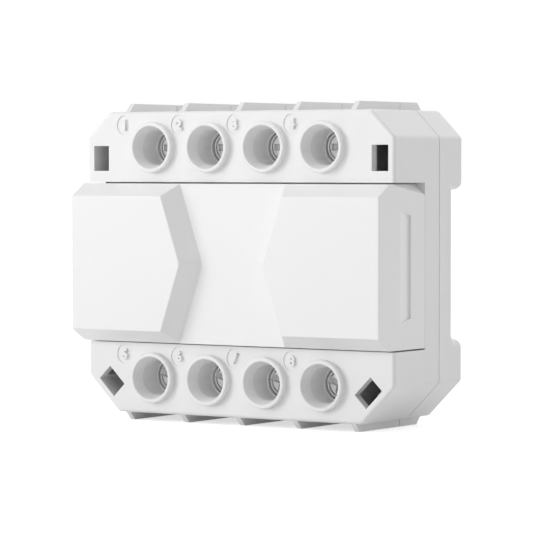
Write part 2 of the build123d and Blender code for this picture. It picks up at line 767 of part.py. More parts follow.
# Relays: one for each channel, with its contacts at the top
for number, relay in enumerate(relays, start=1):
    middle = (relay, z_middle)
    with BuildPart() as relay_case:
        with BuildSketch(facing_front(y_base_back)):
            with Locations(middle):
                RectangleRounded(relay_width, relay_length, case_round)
        extrude(amount=y_base_back - y_case)
        fillet(faces().sort_by(Axis.Y)[0].edges(), case_round)
        with BuildSketch(facing_front(y_base_back)):
            with Locations(middle):
                Rectangle(relay_width - 2 * case_wall, relay_length - 2 * case_wall)
        extrude(amount=y_base_back - y_case - case_wall, mode=Mode.SUBTRACT)
    save(relay_case, f"relay_case_{number}")

    with BuildPart() as relay_base:
        with BuildSketch(facing_front(y_base_back)):
            with Locations(middle):
                Rectangle(relay_width - 2 * case_wall - 2 * base_play,
                          relay_length - 2 * case_wall - 2 * base_play)
            with Locations(*[(relay + x, z_middle + z) for x, z in coil_pins + [yoke_pin]]):
                Circle(pin_radius + base_play, mode=Mode.SUBTRACT)
            with Locations((relay, z_middle + contact_pin[1])):
                Rectangle(blade_width + pin_play, fixed_blade + pin_play, mode=Mode.SUBTRACT)
        extrude(amount=base_thickness)
    save(relay_base, f"relay_base_{number}")

    with BuildPart() as relay_coil:
        with BuildSketch(facing_up(z_middle - coil_start)):
            with Locations((relay, y_core)):
                Circle(coil_radius)
        extrude(amount=coil_start + coil_end)
        for z in (z_middle - coil_start, z_middle + coil_end - flange):
            with BuildSketch(facing_up(z)):
                with Locations((relay, y_core)):
                    RectangleRounded(flange_width, flange_height, case_round)
            extrude(amount=flange)
        with BuildSketch(facing_front(y_pin_end)):
            with Locations(*[(relay + x, z_middle + z) for x, z in coil_pins]):
                Circle(pin_radius)
        extrude(amount=y_pin_end - y_core)
        with BuildSketch(facing_up(z_middle - coil_start)):
            with Locations((relay, y_core)):
                Circle(core_radius + core_play)
        extrude(amount=coil_start + coil_end, mode=Mode.SUBTRACT)
    save(relay_coil, f"relay_coil_{number}")

    with BuildPart() as relay_yoke:
        with BuildSketch(facing_side(relay - yoke_width / 2)):
            low = z_middle - coil_start - yoke_thickness
            Polygon((y_yoke, low), (y_yoke, z_armature_back), (y_yoke_back, z_armature_back),
                    (y_yoke_back, low + yoke_thickness), (y_core + yoke_foot, low + yoke_thickness),
                    (y_core + yoke_foot, low), align=None)
        extrude(amount=yoke_width)
        with BuildSketch(facing_up(z_middle - coil_start)):
            with Locations((relay, y_core)):
                Circle(core_radius)
        extrude(amount=coil_start + coil_end)
        with BuildSketch(facing_up(z_middle + coil_end)):
            with Locations((relay, y_core)):
                Circle(pole_radius)
        extrude(amount=pole_thickness)
        with BuildSketch(facing_front(y_pin_end)):
            with Locations((relay + yoke_pin[0], z_middle + yoke_pin[1])):
                Circle(pin_radius)
        extrude(amount=y_pin_end - y_core)
    save(relay_yoke, f"relay_yoke_{number}")

    with BuildPart() as relay_armature:
        y_hinge = y_yoke_back + armature_play
        with BuildSketch(facing_up(z_armature)):
            with Locations((relay, (y_hinge + y_base - armature_end) / 2)):
                Rectangle(armature_width, y_base - armature_end - y_hinge)
        extrude(amount=armature_thickness)
        with BuildSketch(facing_up(z_armature_back)):
            with Locations((relay, y_hinge + 2 * armature_play + carrier_height / 2)):
                Rectangle(carrier_width, carrier_height)
        extrude(amount=carrier_length)
        with BuildSketch(facing_up(z_blade)):
            with Locations((relay, (y_hinge + 2 * armature_play + y_contact + contact_radius) / 2)):
                Rectangle(blade_width, y_contact + contact_radius - y_hinge - 2 * armature_play)
        extrude(amount=blade_thickness)
        with BuildSketch(facing_up(z_moving_contact)):
            with Locations((relay, y_contact)):
                Circle(contact_radius)
        extrude(amount=contact_thickness)
    save(relay_armature, f"relay_armature_{number}")

    with BuildPart() as relay_contact:
        with BuildSketch(facing_up(z_fixed_blade - fixed_blade)):
            with Locations((relay, (y_contact - contact_radius + y_base_back) / 2)):
                Rectangle(blade_width, y_base_back - y_contact + contact_radius)
        extrude(amount=fixed_blade)
        with BuildSketch(facing_up(z_fixed_blade)):
            with Locations((relay, y_contact)):
                Circle(contact_radius)
        extrude(amount=contact_thickness)
        with BuildSketch(facing_front(y_pin_end)):
            with Locations((relay, z_middle + contact_pin[1])):
                Circle(pin_radius)
        extrude(amount=y_pin_end - y_base_back)
    save(relay_contact, f"relay_contact_{number}")

# Supply parts, which stand on the board at the left
with BuildPart() as bulk_capacitor:
    top = y_parts - bulk_height
    groove = y_parts - bulk_neck_start
    with BuildSketch(Plane((-strip_middle, 0, z_middle + bulk_place), x_dir=(1, 0, 0), z_dir=(0, 0, 1))):
        Polygon((0, y_parts), (bulk_radius, y_parts), (bulk_radius, groove),
                (bulk_radius - bulk_neck, groove - bulk_neck), (bulk_radius, groove - 2 * bulk_neck),
                (bulk_radius, top + bulk_neck), (bulk_radius - bulk_neck, top), (0, top), align=None)
    revolve(axis=Axis((-strip_middle, 0, z_middle + bulk_place), (0, 1, 0)))
    with BuildSketch(facing_front(y_pin_end)):
        with Locations(*[(x, z_middle + z) for x, z in supply_leads[0:2]]):
            Circle(lead_radius)
    extrude(amount=y_pin_end - y_parts + bulk_neck)
save(bulk_capacitor, "bulk_capacitor")

with BuildPart() as film_capacitor:
    with BuildSketch(facing_front(y_parts)):
        with Locations((-strip_middle, z_middle + film_place)):
            RectangleRounded(film_width, film_length, case_round)
    extrude(amount=film_height)
    fillet(faces().sort_by(Axis.Y)[0].edges(), case_round)
    with BuildSketch(facing_front(y_pin_end)):
        with Locations(*[(x, z_middle + z) for x, z in supply_leads[2:4]]):
            Circle(lead_radius)
    extrude(amount=y_pin_end - y_parts + lead_gap)
save(film_capacitor, "film_capacitor")

with BuildPart() as inductor:
    top = y_parts - coil_core_height
    with BuildSketch(Plane((-strip_middle, 0, z_middle + coil_place), x_dir=(1, 0, 0), z_dir=(0, 0, 1))):
        Polygon((0, y_parts), (coil_core_radius, y_parts), (coil_core_radius, y_parts - coil_core_flange),
                (coil_core_waist, y_parts - coil_core_flange), (coil_core_waist, top + coil_core_flange),
                (coil_core_radius, top + coil_core_flange), (coil_core_radius, top), (0, top), align=None)
    revolve(axis=Axis((-strip_middle, 0, z_middle + coil_place), (0, 1, 0)))
    with BuildSketch(facing_front(y_pin_end)):
        with Locations(*[(x, z_middle + z) for x, z in supply_leads[4:6]]):
            Circle(lead_radius)
    extrude(amount=y_pin_end - y_parts + lead_gap)
save(inductor, "inductor")

with BuildPart() as varistor:
    with BuildSketch(facing_up(z_middle + varistor_place - varistor_thickness / 2)):
        with Locations((-strip_middle, y_parts - varistor_radius)):
            Circle(varistor_radius)
    extrude(amount=varistor_thickness)
    fillet(edges().filter_by(GeomType.CIRCLE), case_round)
    with BuildSketch(facing_front(y_pin_end)):
        with Locations(*[(x, z_middle + z) for x, z in supply_leads[6:8]]):
            Circle(lead_radius)
    extrude(amount=y_pin_end - y_parts + varistor_radius)
save(varistor, "varistor")

with BuildPart() as fuse_resistor:
    bend = y_parts - fuse_height - fuse_radius
    with BuildSketch(facing_front(y_parts)):
        with Locations((-fuse_side, z_middle + fuse_place)):
            Circle(fuse_radius)
    extrude(amount=fuse_height)
    fillet(edges().filter_by(GeomType.CIRCLE), case_round)
    with BuildSketch(facing_front(y_pin_end)):
        with Locations((-fuse_side, z_middle + fuse_place)):
            Circle(lead_radius)
    extrude(amount=y_pin_end - bend - fuse_radius)
    with BuildLine():
        Polyline((-fuse_side - 2 * fuse_radius, y_pin_end, z_middle + fuse_place),
                 (-fuse_side - 2 * fuse_radius, bend + fuse_radius, z_middle + fuse_place))
        ThreePointArc((-fuse_side - 2 * fuse_radius, bend + fuse_radius, z_middle + fuse_place),
                      (-fuse_side - fuse_radius, bend, z_middle + fuse_place),
                      (-fuse_side, bend + fuse_radius, z_middle + fuse_place))
    with BuildSketch(facing_front(y_pin_end)):
        with Locations((-fuse_side - 2 * fuse_radius, z_middle + fuse_place)):
            Circle(lead_radius)
    sweep()
save(fuse_resistor, "fuse_resistor")

# Surface-mounted chips on the back of the board, each with a row of leads on both sides
rectifiers = [(-strip_middle, z_middle + (bulk_place + film_place) / 2)]
couplers = [(relay, z_middle - chip_place) for relay in relays]
drivers = [(relay, z_middle + chip_place) for relay in relays]
chip_groups = [("bridge_rectifier", rectifiers, rectifier_size, rectifier_lead_count),
               ("optocouplers", couplers, coupler_size, coupler_lead_count),
               ("driver_chips", drivers, driver_size, driver_lead_count)]
for name, places, size, lead_count in chip_groups:
    width, height, thickness = size
    feet = [(x + (index - (lead_count - 1) / 2) * width / lead_count, z)
            for x, z in places for index in range(lead_count)]
    with BuildPart() as chips:
        with BuildSketch(facing_front(y_joint + thickness)):
            with Locations(*places):
                RectangleRounded(width, height, lead_radius)
        extrude(amount=thickness - lead_gap / 2)
        with BuildSketch(facing_front(y_joint + chip_lead)):
            with Locations(*feet):
                Rectangle(chip_lead, height + 2 * chip_lead_reach)
        extrude(amount=chip_lead)
    save(chips, name)

# Radio: a small board that stands on the main board, with a shield, an antenna and a header
with BuildPart() as radio_board:
    with BuildSketch(facing_side(x_radio)):
        with Locations(((y_radio + y_radio_foot) / 2, z_middle)):
            RectangleRounded(y_radio_foot - y_radio, radio_length, case_round)
    extrude(amount=radio_thickness)
save(radio_board, "radio_board")

with BuildPart() as radio_shield:
    y_shield = y_radio_foot - header_height - lead_gap - shield_height / 2
    with BuildSketch(facing_side(x_radio - shield_depth)):
        with Locations((y_shield, z_middle - (radio_length - shield_length) / 4)):
            RectangleRounded(shield_height, shield_length, 2 * shield_round)
    extrude(amount=shield_depth)
    fillet(faces().sort_by(Axis.X)[0].edges(), shield_round)
save(radio_shield, "radio_shield")

with BuildPart() as radio_antenna:
    turn_width = (radio_length - 2 * antenna_width) / (2 * antenna_turns)
    near = y_radio + antenna_width
    far = y_radio + antenna_reach
    start = z_middle - antenna_turns * turn_width + turn_width / 2
    with BuildSketch(facing_side(x_radio + radio_thickness)):
        for index in range(2 * antenna_turns):
            with Locations(((near + far) / 2, start + index * turn_width)):
                Rectangle(far - near, antenna_width)
        for index in range(2 * antenna_turns - 1):
            row_y = near + antenna_width / 2 if index % 2 else far - antenna_width / 2
            with Locations((row_y, start + (index + 0.5) * turn_width)):
                Rectangle(antenna_width, turn_width + antenna_width)
    extrude(amount=antenna_thickness)
save(radio_antenna, "radio_antenna")

with BuildPart() as radio_header:
    header_length = header_pins * header_pitch
    with BuildSketch(facing_front(y_board)):
        with Locations((header_side, z_middle)):
            Rectangle(header_width, header_length)
    extrude(amount=header_height)
    with BuildSketch(facing_front(y_pin_end)):
        with Locations(*[(x, z_middle + z) for x, z in header_places]):
            Circle(lead_radius)
    extrude(amount=y_pin_end - y_board + header_height + lead_radius)
save(radio_header, "radio_header")
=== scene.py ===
from math import pi, radians

import bmesh
import bpy
import numpy as np
from mathutils import Matrix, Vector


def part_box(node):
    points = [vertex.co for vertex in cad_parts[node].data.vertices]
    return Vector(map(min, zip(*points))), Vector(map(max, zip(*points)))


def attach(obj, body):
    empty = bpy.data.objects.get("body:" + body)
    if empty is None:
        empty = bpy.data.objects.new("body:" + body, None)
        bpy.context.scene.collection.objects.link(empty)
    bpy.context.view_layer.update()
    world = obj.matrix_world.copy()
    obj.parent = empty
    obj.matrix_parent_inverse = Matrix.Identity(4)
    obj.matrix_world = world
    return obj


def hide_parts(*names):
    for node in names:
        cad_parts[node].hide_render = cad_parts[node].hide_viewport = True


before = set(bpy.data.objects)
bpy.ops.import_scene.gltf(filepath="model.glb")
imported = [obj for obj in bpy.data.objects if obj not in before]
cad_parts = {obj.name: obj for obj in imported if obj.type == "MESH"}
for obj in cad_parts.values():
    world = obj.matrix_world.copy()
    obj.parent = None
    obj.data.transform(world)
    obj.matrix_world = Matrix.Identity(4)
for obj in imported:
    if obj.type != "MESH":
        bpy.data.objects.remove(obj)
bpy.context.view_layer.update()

# Front shell: the half with the eight terminal wells, injection-moulded in white polycarbonate.
# The tool is finely spark-eroded, which leaves an even satin grain on all faces. Arms of the rear
# shell clip into its four windows.
shell_color = (0.86, 0.86, 0.862)
shell_shade = (0.845, 0.845, 0.85)
grain_size = 0.00022
grain_depth = 0.000006
flow_size = 0.016


def start_group(name, inputs, outputs):
    "A shader node group with inputs {name: (kind, value)} and outputs {name: kind}, and its ends"
    group = bpy.data.node_groups.new(name, "ShaderNodeTree")
    for label, (kind, value) in inputs.items():
        socket = group.interface.new_socket(label, in_out="INPUT", socket_type="NodeSocket" + kind)
        socket.default_value = value
    for label, kind in outputs.items():
        group.interface.new_socket(label, in_out="OUTPUT", socket_type="NodeSocket" + kind)
    return group, group.nodes.new("NodeGroupInput"), group.nodes.new("NodeGroupOutput")


def moulded_surface():
    """A group for moulded plastic. Fine noise gives the eroded grain as a height from 0 to 1, and slow
    noise gives the faint clouds of the melt's flow, which blend the two colours and shift the gloss."""
    group, start, end = start_group(
        "moulded surface",
        {"Color": ("Color", (1, 1, 1, 1)), "Shade": ("Color", (1, 1, 1, 1)), "Roughness": ("Float", 0.4),
         "Grain per metre": ("Float", 1 / grain_size), "Flow per metre": ("Float", 1 / flow_size)},
        {"Color": "Color", "Roughness": "Float", "Height": "Float"})
    nodes, links = group.nodes, group.links
    place = nodes.new("ShaderNodeTexCoord")
    grain = nodes.new("ShaderNodeTexNoise")
    flow = nodes.new("ShaderNodeTexNoise")
    for noise, speed in ((grain, "Grain per metre"), (flow, "Flow per metre")):
        links.new(place.outputs["Object"], noise.inputs["Vector"])
        links.new(start.outputs[speed], noise.inputs["Scale"])
    grain.inputs["Detail"].default_value = 1.5
    flow.inputs["Detail"].default_value = 3.0
    blend = nodes.new("ShaderNodeMix")
    blend.data_type = "RGBA"
    links.new(flow.outputs["Fac"], blend.inputs["Factor"])
    links.new(start.outputs["Color"], blend.inputs["A"])
    links.new(start.outputs["Shade"], blend.inputs["B"])
    gloss = nodes.new("ShaderNodeMath")
    gloss.operation = "MULTIPLY_ADD"
    gloss.inputs[1].default_value = 0.10
    links.new(flow.outputs["Fac"], gloss.inputs[0])
    links.new(start.outputs["Roughness"], gloss.inputs[2])
    links.new(blend.outputs["Result"], end.inputs["Color"])
    links.new(gloss.outputs["Value"], end.inputs["Roughness"])
    links.new(grain.outputs["Fac"], end.inputs["Height"])
    return group


def start_material(name, **constants):
    "A material whose Principled shader has these constants: it comes with its tree and that shader"
    material = bpy.data.materials.new(name)
    material.use_nodes = True
    shader = material.node_tree.nodes["Principled BSDF"]
    for label, value in constants.items():
        shader.inputs[label.replace("_", " ")].default_value = value
    return material, material.node_tree, shader


def add_bump(tree, shader, height, depth):
    "Joins a height from 0 to 1 to the shader's normal, as relief of this depth in metres"
    bump = tree.nodes.new("ShaderNodeBump")
    bump.inputs["Distance"].default_value = depth
    tree.links.new(height, bump.inputs["Height"])
    tree.links.new(bump.outputs["Normal"], shader.inputs["Normal"])


def place_effect(tree, effect, **values):
    "A group placed in a material, with its own values: underscores stand for spaces"
    node = tree.nodes.new("ShaderNodeGroup")
    node.node_tree = effect
    for label, value in values.items():
        node.inputs[label.replace("_", " ")].default_value = value
    return node


moulded = moulded_surface()


def plastic(name, color, shade, roughness, grain=grain_size, depth=grain_depth, **constants):
    "Moulded plastic: two close colours, a base roughness, and the grain's size and depth"
    material, tree, shader = start_material(name, IOR=1.58, **constants)
    surface = place_effect(tree, moulded, Color=(*color, 1), Shade=(*shade, 1), Roughness=roughness,
                           Grain_per_metre=1 / grain)
    tree.links.new(surface.outputs["Color"], shader.inputs["Base Color"])
    tree.links.new(surface.outputs["Roughness"], shader.inputs["Roughness"])
    add_bump(tree, shader, surface.outputs["Height"], depth)
    return material


def finish_nodes(material, *nodes):
    "Gives carried-over nodes their material"
    for node in nodes:
        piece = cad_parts[node]
        piece.data.materials.clear()
        piece.data.materials.append(material)


shell_plastic = plastic("shell plastic", shell_color, shell_shade, 0.38)
finish_nodes(shell_plastic, "front_shell")

# Rear shell: the half that goes in the wall box, moulded in the same white polycarbonate. Its feet
# leave room for cables behind the module, and its end walls take the wires.
finish_nodes(shell_plastic, "rear_shell")

# Front cover: the raised hood over the relays, moulded in white polycarbonate in a smoother tool.
# Four tabs clip it behind the deck of the front shell.
cover_plastic = plastic("cover plastic", (0.88, 0.88, 0.882), (0.87, 0.87, 0.874), 0.27,
                        grain=0.00018, depth=0.000003)
finish_nodes(cover_plastic, "front_cover")

# Terminal figures: plain numbers 1 to 8, moulded with the front shell. They stand up from the floors of
# the round label recesses beside the wells, a little higher than the face around them.
terminal_count = 8
figure_height = 0.00145
figure_rise = 0.00028
figure_sink = 0.00002
figure_edge = 0.00002
figure_weight = 0.00007
label_left = 0.00475
label_up = 0.00305
label_depth = 0.00012
rim_height = 0.00084
label_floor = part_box("front_shell")[0][1] + rim_height + label_depth


def terminal_axis(number):
    "Where the axis of this terminal's screw stands, as X and Z"
    low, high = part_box(f"terminal_screw_{number}")
    return (low[0] + high[0]) / 2, (low[2] + high[2]) / 2


def add_piece(name, mesh, body, material):
    "A finished mesh as a piece that rides on a body and its material"
    piece = bpy.data.objects.new(name, mesh)
    bpy.context.scene.collection.objects.link(piece)
    mesh.materials.clear()
    mesh.materials.append(material)
    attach(piece, body)
    return piece


def raised_figure(number):
    """The outline of a plain figure, raised and with a fine bevel, as a mesh. It stands upright in the
    XZ plane, is scaled to the figure's height, and its middle is put on its label's floor."""
    text = bpy.data.curves.new("figure", "FONT")
    text.body = str(number)
    text.resolution_u = 6
    text.extrude = (figure_rise + figure_sink) / 2 / figure_height
    text.bevel_depth = figure_edge / figure_height
    text.offset = (figure_weight - figure_edge) / figure_height
    outline = bpy.data.objects.new("figure", text)
    bpy.context.scene.collection.objects.link(outline)
    ready = outline.evaluated_get(bpy.context.evaluated_depsgraph_get())
    mesh = bpy.data.meshes.new_from_object(ready)
    bpy.data.objects.remove(outline)
    points = np.empty(3 * len(mesh.vertices))
    mesh.vertices.foreach_get("co", points)
    flat = points.reshape(-1, 3)
    low, high = flat.min(axis=0), flat.max(axis=0)
    x, z = terminal_axis(number)
    middle = (x - label_left, label_floor + figure_sink - (figure_rise + figure_sink) / 2, z + label_up)
    size = figure_height / (high[1] - low[1])
    centre = Matrix.Translation(tuple(-(low + high) / 2))
    mesh.transform(Matrix.Translation(middle) @ Matrix.Rotation(pi / 2, 4, "X") @ Matrix.Scale(size, 4)
                   @ centre)
    return mesh


figures = bmesh.new()
for number in range(1, terminal_count + 1):
    figures.from_mesh(raised_figure(number))
bmesh.ops.remove_doubles(figures, verts=figures.verts, dist=1e-7)
bmesh.ops.recalc_face_normals(figures, faces=figures.faces)
figures_mesh = bpy.data.meshes.new("terminal_figures")
figures.to_mesh(figures_mesh)
figures.free()
add_piece("terminal_figures", figures_mesh, "housing", shell_plastic)

# Clamp screws: turned in steel with a real thread, stamped with a slot across a shorter cross, and
# zinc-plated. A fine ring is turned into each head. The shelf in the well keeps the head, and the
# screw turns in place while the cage climbs its thread.
slot_half = 0.000405
cross_half = 0.00133
slot_depth = 0.0003
cross_depth = 0.0005
ring_middle = 0.00165
ring_half = 0.00009
ring_depth = 0.0004
recess_edge = 0.00006
head_thickness = 0.0014
head_bevel = 0.00008
thread_root = 0.0012
thread_depth = 0.00025
thread_pitch = 0.0005
thread_start = 0.0004
upper_slot_turn = radians(90)
lower_slot_turn = radians(-16)
screw_around = 180
face_rings = 92
face_start = 0.00002
rim_rings = 6
shank_rings = 170
circle_spacing = 0.00007
circle_depth = 0.0000015


def step_down(distance):
    "1 inside an edge and 0 outside it, with a smooth step as wide as a recess's edge"
    share = np.clip(0.5 - distance / recess_edge, 0, 1)
    return share * share * (3 - 2 * share)


def head_relief(radius, turn):
    """Depth of the recesses in a screw head at a distance from its axis and an angle: the deepest of the
    slot, which crosses the head, the cross, whose arms end inside it, and the ring, which the slot
    interrupts."""
    along, beside = np.abs(radius * np.cos(turn)), np.abs(radius * np.sin(turn))
    slot_share = step_down(beside - slot_half)
    slot = slot_depth * slot_share
    cross = cross_depth * np.maximum(
        step_down(np.maximum(along - cross_half, beside - slot_half)),
        step_down(np.maximum(beside - cross_half, along - slot_half)))
    ring = ring_depth * step_down(np.abs(radius - ring_middle) - ring_half) * (1 - slot_share)
    return np.maximum(np.maximum(slot, cross), ring)


def closed_rings(name, rings, first_pole, last_pole):
    """A closed mesh from rings of points, as rows of an array: quads join each ring to the next one,
    and fans join the first and the last ring to their poles."""
    rows, around = rings.shape[:2]
    here = np.arange(rows * around).reshape(rows, around)
    next_to = np.roll(here, -1, axis=1)
    quads = np.stack([here[:-1], here[1:], next_to[1:], next_to[:-1]], -1).reshape(-1, 4)
    poles = rows * around + np.arange(2)
    first_fan = np.stack([np.full(around, poles[0]), here[0], next_to[0]], -1)
    last_fan = np.stack([np.full(around, poles[1]), next_to[-1], here[-1]], -1)
    points = np.vstack([rings.reshape(-1, 3), [first_pole, last_pole]])
    mesh = bpy.data.meshes.new(name)
    mesh.from_pydata(points.tolist(), [], quads.tolist() + first_fan.tolist() + last_fan.tolist())
    mesh.shade_smooth()
    tidy = bmesh.new()
    tidy.from_mesh(mesh)
    bmesh.ops.recalc_face_normals(tidy, faces=tidy.faces)
    tidy.to_mesh(mesh)
    tidy.free()
    return mesh


def clamp_screw(name, low, high, slot_turn):
    """A profile of distance and depth runs from the middle of the head's face over its bevelled rim and
    down the shank to the tip, and is turned about the axis. The face sinks by the relief, and along the
    shank a triangle wave of depth less the angle's share of a pitch adds the thread, which fades in
    under the head and out at the tip."""
    x, z = (low[0] + high[0]) / 2, (low[2] + high[2]) / 2
    head = (high[0] - low[0]) / 2
    angle = np.linspace(0, 2 * pi, screw_around, endpoint=False)
    face = np.linspace(face_start, head - head_bevel, face_rings)
    rim_turn = np.linspace(0, pi / 2, rim_rings + 1)[1:]
    rim = head - head_bevel + head_bevel * np.sin(rim_turn)
    rim_fall = head_bevel * (1 - np.cos(rim_turn))
    under = low[1] + head_thickness
    shank = np.linspace(under + thread_start / 4, high[1] - thread_start / 4, shank_rings)
    side = [under - head_bevel / 2, under]
    radius = np.concatenate([face, rim, [head, head - head_bevel / 2],
                             np.full(shank_rings, thread_root), [thread_root - thread_depth]])
    depth = np.concatenate([np.full(face_rings, low[1]), low[1] + rim_fall, side, shank, [high[1]]])
    rings_radius = np.repeat(radius[:, None], screw_around, axis=1)
    rings_depth = np.repeat(depth[:, None], screw_around, axis=1)
    on_head = slice(0, face_rings + rim_rings // 2)
    relief = head_relief(rings_radius[on_head], angle[None, :] - slot_turn)
    rings_depth[on_head] += relief
    shank_from = face_rings + rim_rings + len(side)
    on_shank = slice(shank_from, shank_from + shank_rings)
    phase = (rings_depth[on_shank] / thread_pitch - angle[None, :] / (2 * pi)) % 1
    tooth = 1 - np.abs(2 * phase - 1)
    near = np.minimum(shank - under, high[1] - shank) / thread_start
    rings_radius[on_shank] += thread_depth * tooth * np.clip(near, 0, 1)[:, None]
    rings = np.stack([x + rings_radius * np.cos(angle), rings_depth, z + rings_radius * np.sin(angle)], -1)
    deepest = low[1] + cross_depth
    mesh = closed_rings(name, rings, (x, deepest, z), (x, high[1], z))
    turned = mesh.attributes.new("distance from axis", "FLOAT", "POINT")
    turned.data.foreach_set("value", np.append(rings_radius.ravel(), [0, 0]).astype(np.float32))
    # Painted shade: the material darkens the head's slot, cross and ring by this share of the slot's depth.
    sunk = np.zeros_like(rings_radius)
    sunk[on_head] = np.clip(relief / slot_depth, 0, 1)
    stamped = mesh.attributes.new("stamped", "FLOAT", "POINT")
    stamped.data.foreach_set("value", np.append(sunk.ravel(), [1, 0]).astype(np.float32))
    return mesh


def rolled_surface():
    """A group for bright metal. Noise stretched along one direction gives the fine drawn or rolled lines
    as a height and as small changes of roughness, and slow noise gives pale and dull patches."""
    group, start, end = start_group(
        "rolled surface",
        {"Color": ("Color", (1, 1, 1, 1)), "Stain": ("Color", (1, 1, 1, 1)), "Roughness": ("Float", 0.3),
         "Lines per metre": ("Vector", (20000, 20000, 1500)), "Patches per metre": ("Float", 600.0)},
        {"Color": "Color", "Roughness": "Float", "Height": "Float"})
    nodes, links = group.nodes, group.links
    place = nodes.new("ShaderNodeTexCoord")
    stretch = nodes.new("ShaderNodeVectorMath")
    stretch.operation = "MULTIPLY"
    links.new(place.outputs["Object"], stretch.inputs[0])
    links.new(start.outputs["Lines per metre"], stretch.inputs[1])
    lines = nodes.new("ShaderNodeTexNoise")
    lines.inputs["Scale"].default_value = 1.0
    links.new(stretch.outputs["Vector"], lines.inputs["Vector"])
    patches = nodes.new("ShaderNodeTexNoise")
    patches.inputs["Detail"].default_value = 4.0
    links.new(place.outputs["Object"], patches.inputs["Vector"])
    links.new(start.outputs["Patches per metre"], patches.inputs["Scale"])
    blend = nodes.new("ShaderNodeMix")
    blend.data_type = "RGBA"
    links.new(patches.outputs["Fac"], blend.inputs["Factor"])
    links.new(start.outputs["Color"], blend.inputs["A"])
    links.new(start.outputs["Stain"], blend.inputs["B"])
    spread = nodes.new("ShaderNodeMath")
    spread.operation = "ADD"
    links.new(lines.outputs["Fac"], spread.inputs[0])
    links.new(patches.outputs["Fac"], spread.inputs[1])
    dull = nodes.new("ShaderNodeMath")
    dull.operation = "MULTIPLY_ADD"
    dull.inputs[1].default_value = 0.12
    links.new(spread.outputs["Value"], dull.inputs[0])
    links.new(start.outputs["Roughness"], dull.inputs[2])
    links.new(blend.outputs["Result"], end.inputs["Color"])
    links.new(dull.outputs["Value"], end.inputs["Roughness"])
    links.new(lines.outputs["Fac"], end.inputs["Height"])
    return group


rolled = rolled_surface()


def metal(name, color, stain, roughness, lines=(20000, 20000, 1500), depth=0.000002, metallic=1.0):
    "Bright sheet or drawn metal: two colours, a base roughness, and lines along the slow direction"
    material, tree, shader = start_material(name, Metallic=metallic)
    surface = place_effect(tree, rolled, Color=(*color, 1), Stain=(*stain, 1), Roughness=roughness,
                           Lines_per_metre=lines)
    tree.links.new(surface.outputs["Color"], shader.inputs["Base Color"])
    tree.links.new(surface.outputs["Roughness"], shader.inputs["Roughness"])
    add_bump(tree, shader, surface.outputs["Height"], depth)
    return material


def turned_steel():
    """Pale zinc-plated turned steel: the tool's fine circles come from a sine of the distance from the
    axis, which the screws carry as an attribute, over the patches of rolled metal. The stamped recesses
    get painted shade, darker grey by their depth, which the screws carry as a second attribute."""
    material, tree, shader = start_material("turned steel", Metallic=0.5)
    surface = place_effect(tree, rolled, Color=(0.95, 0.95, 0.945, 1), Stain=(0.90, 0.90, 0.895, 1),
                           Roughness=0.26, Lines_per_metre=(9000, 9000, 9000))
    # Painted shade: the colour turns grey in the head's recesses, as deep as they are stamped.
    stamped = tree.nodes.new("ShaderNodeAttribute")
    stamped.attribute_name = "stamped"
    painted_recess_shade = tree.nodes.new("ShaderNodeMix")
    painted_recess_shade.data_type = "RGBA"
    painted_recess_shade.inputs["B"].default_value = (0.66, 0.66, 0.66, 1)
    tree.links.new(stamped.outputs["Fac"], painted_recess_shade.inputs["Factor"])
    tree.links.new(surface.outputs["Color"], painted_recess_shade.inputs["A"])
    distance = tree.nodes.new("ShaderNodeAttribute")
    distance.attribute_name = "distance from axis"
    speed = tree.nodes.new("ShaderNodeMath")
    speed.operation = "MULTIPLY"
    speed.inputs[1].default_value = 2 * pi / circle_spacing
    circles = tree.nodes.new("ShaderNodeMath")
    circles.operation = "SINE"
    tree.links.new(distance.outputs["Fac"], speed.inputs[0])
    tree.links.new(speed.outputs["Value"], circles.inputs[0])
    tree.links.new(painted_recess_shade.outputs["Result"], shader.inputs["Base Color"])
    tree.links.new(surface.outputs["Roughness"], shader.inputs["Roughness"])
    add_bump(tree, shader, circles.outputs["Value"], circle_depth)
    return material


screw_steel = turned_steel()
for number in range(1, terminal_count + 1):
    node = f"terminal_screw_{number}"
    turn = upper_slot_turn if number <= terminal_count / 2 else lower_slot_turn
    screw_mesh = clamp_screw(f"clamp_screw_{number}", *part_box(node), turn)
    screw = add_piece(f"clamp_screw_{number}", screw_mesh, f"screw_{number}", screw_steel)
    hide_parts(node)

# Rising cages: folded from zinc-plated steel strip. Each lifts the wire against its current bar as the
# screw turns.
cage_steel = metal("plated strip", (0.74, 0.74, 0.73), (0.60, 0.61, 0.61), 0.30,
                   lines=(2500, 30000, 30000))
finish_nodes(cage_steel, *[f"terminal_cage_{number}" for number in range(1, terminal_count + 1)])

# Current bars: stamped from rolled brass, with two legs soldered into the board. Each one runs through
# its cage.
rolled_brass = metal("rolled brass", (0.80, 0.63, 0.36), (0.68, 0.50, 0.27), 0.26,
                     lines=(30000, 30000, 2500))
finish_nodes(rolled_brass, *[f"terminal_bar_{number}" for number in range(1, terminal_count + 1)])

# Main board: glass-epoxy laminate with a green solder mask over etched tracks. It seats in the front
# shell at the joint, and the rear shell's rails press it home.
track_row = 0.0011
track_step = 0.0042
track_gap = 0.00016
track_height = 0.00002
weave_step = 0.0004
weave_share = 0.08


